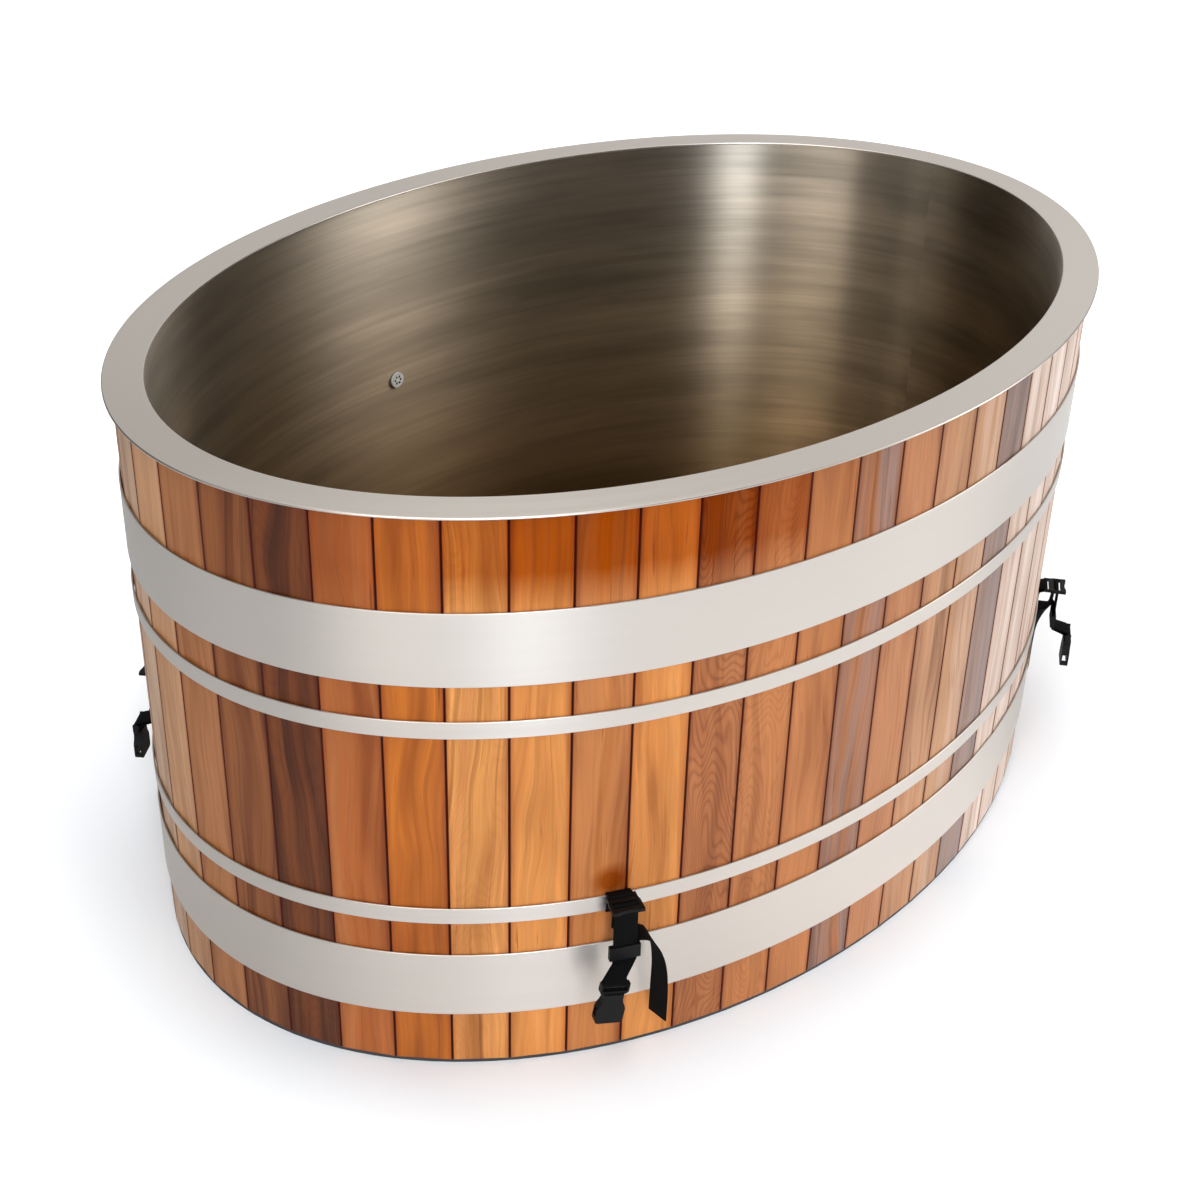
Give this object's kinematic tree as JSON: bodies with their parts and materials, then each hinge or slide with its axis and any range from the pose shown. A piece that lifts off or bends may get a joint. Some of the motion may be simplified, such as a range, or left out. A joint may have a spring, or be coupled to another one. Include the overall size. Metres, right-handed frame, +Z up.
{
  "type": "cold plunge tub",
  "caption": "Oval cold plunge tub: steel liner and flat rim in a tongue-and-groove cedar shell with flat steel hoops, cover straps with buckles, a return jet and a floor drain with valve.",
  "frame": {"origin": "on the ground at the middle of the tub, under the centre bearer", "axes": "+X along the tub to the right of the pictured side, +Y across it to the back, +Z up"},
  "size_m": [1.524, 1.1419, 0.757],
  "materials": {
    "rim_steel": "satin",
    "liner_steel": "brushed along the wall",
    "foam": "closed-cell foam, hidden",
    "board": "sealed plywood, hidden",
    "bearer": "recycled plastic, hidden",
    "edging": "matt",
    "cedar": "oiled red cedar",
    "hoop_steel": "satin",
    "lug_steel": "satin",
    "fitting_steel": "satin",
    "gasket": "matt",
    "pipe_plastic": "matt",
    "brass": "turned",
    "seat_plastic": "matt",
    "ball_steel": "polished",
    "lever_grip": "dipped vinyl grip",
    "webbing": "woven polypropylene webbing",
    "moulding": "fine texture"
  },
  "bodies": {
    "tub": {"rim_ring": "rim_steel", "liner_wall": "liner_steel", "liner_floor": "liner_steel", "insulation_wall": "foam", "insulation_floor": "foam", "base_board": "board", "base_bearers": "bearer", "base_edging": "edging", "staves_front": "cedar", "staves_front_right": "cedar", "staves_back_right": "cedar", "staves_back": "cedar", "staves_back_left": "cedar", "staves_front_left": "cedar", "hoop_upper_wide": "hoop_steel", "hoop_upper_narrow": "hoop_steel", "hoop_lower_narrow": "hoop_steel", "hoop_lower_wide": "hoop_steel", "hoop_lugs": "lug_steel", "hoop_draw_bolts": "lug_steel", "jet_faceplate": "fitting_steel", "jet_body": "fitting_steel", "jet_gasket": "gasket", "jet_locknut": "fitting_steel", "jet_hose_tail": "brass", "drain_strainer": "fitting_steel", "drain_body": "fitting_steel", "drain_gasket": "gasket", "drain_locknut": "fitting_steel", "drain_elbow": "pipe_plastic", "drain_pipe": "pipe_plastic", "drain_wall_flange": "fitting_steel", "valve_body": "brass", "valve_end_cap": "brass", "valve_seats": "seat_plastic", "drain_hose_tail": "brass", "anchor_front_left": "webbing", "anchor_front_right": "webbing", "anchor_back_left": "webbing", "anchor_back_right": "webbing"},
    "valve_handle": {"valve_ball": "ball_steel", "valve_stem": "ball_steel", "valve_lever": "lever_grip"},
    "lock_front_left": {"ladder_lock_front_left": "moulding"},
    "hanging_front_left": {"strap_front_left": "webbing", "keeper_front_left": "moulding"},
    "clip_front_left": {"buckle_front_left": "moulding"},
    "lock_front_right": {"ladder_lock_front_right": "moulding"},
    "hanging_front_right": {"strap_front_right": "webbing", "keeper_front_right": "moulding"},
    "clip_front_right": {"buckle_front_right": "moulding"},
    "lock_back_left": {"ladder_lock_back_left": "moulding"},
    "hanging_back_left": {"strap_back_left": "webbing", "keeper_back_left": "moulding"},
    "clip_back_left": {"buckle_back_left": "moulding"},
    "lock_back_right": {"ladder_lock_back_right": "moulding"},
    "hanging_back_right": {"strap_back_right": "webbing", "keeper_back_right": "moulding"},
    "clip_back_right": {"buckle_back_right": "moulding"}
  },
  "joints": [
    {"name": "valve_turn", "type": "hinge", "parent": "tub", "child": "valve_handle", "pos_m": [0.138, 0.55065, 0.032], "axis": [0, 0, 1], "range_deg": [-90, 0]},
    {"name": "lock_tilt_front_left", "type": "hinge", "parent": "tub", "child": "lock_front_left", "pos_m": [-0.49246, -0.4077, 0.246], "axis": [-0.8622, 0.5066, 0], "range_deg": [0, 40]},
    {"name": "strap_swing_front_left", "type": "hinge", "parent": "lock_front_left", "child": "hanging_front_left", "pos_m": [-0.50082, -0.42192, 0.246], "axis": [-0.8622, 0.5066, 0], "range_deg": [-2, 25]},
    {"name": "buckle_swing_front_left", "type": "hinge", "parent": "hanging_front_left", "child": "clip_front_left", "pos_m": [-0.53266, -0.43662, 0.1555], "axis": [-0.8491, 0.4989, 0.1736], "range_deg": [-50, 90]},
    {"name": "lock_tilt_front_right", "type": "hinge", "parent": "tub", "child": "lock_front_right", "pos_m": [0.4945, -0.4065, 0.246], "axis": [-0.8606, -0.5092, 0], "range_deg": [0, 40]},
    {"name": "strap_swing_front_right", "type": "hinge", "parent": "lock_front_right", "child": "hanging_front_right", "pos_m": [0.5029, -0.4207, 0.246], "axis": [-0.8606, -0.5092, 0], "range_deg": [-2, 25]},
    {"name": "buckle_swing_front_right", "type": "hinge", "parent": "hanging_front_right", "child": "clip_front_right", "pos_m": [0.51756, -0.44549, 0.1705], "axis": [-0.8606, -0.5092, 0], "range_deg": [-50, 90]},
    {"name": "lock_tilt_back_left", "type": "hinge", "parent": "tub", "child": "lock_back_left", "pos_m": [-0.55256, 0.36832, 0.246], "axis": [0.8077, 0.5897, 0], "range_deg": [0, 40]},
    {"name": "strap_swing_back_left", "type": "hinge", "parent": "lock_back_left", "child": "hanging_back_left", "pos_m": [-0.56229, 0.38165, 0.246], "axis": [0.8077, 0.5897, 0], "range_deg": [-2, 25]},
    {"name": "buckle_swing_back_left", "type": "hinge", "parent": "hanging_back_left", "child": "clip_back_left", "pos_m": [-0.57927, 0.40491, 0.1555], "axis": [0.8077, 0.5897, 0], "range_deg": [-50, 90]},
    {"name": "lock_tilt_back_right", "type": "hinge", "parent": "tub", "child": "lock_back_right", "pos_m": [0.4945, 0.4065, 0.246], "axis": [0.8606, -0.5092, 0], "range_deg": [0, 40]},
    {"name": "strap_swing_back_right", "type": "hinge", "parent": "lock_back_right", "child": "hanging_back_right", "pos_m": [0.5029, 0.4207, 0.246], "axis": [0.8606, -0.5092, 0], "range_deg": [-2, 25]},
    {"name": "buckle_swing_back_right", "type": "hinge", "parent": "hanging_back_right", "child": "clip_back_right", "pos_m": [0.51756, 0.44549, 0.1705], "axis": [0.8606, -0.5092, 0], "range_deg": [-50, 90]}
  ]
}
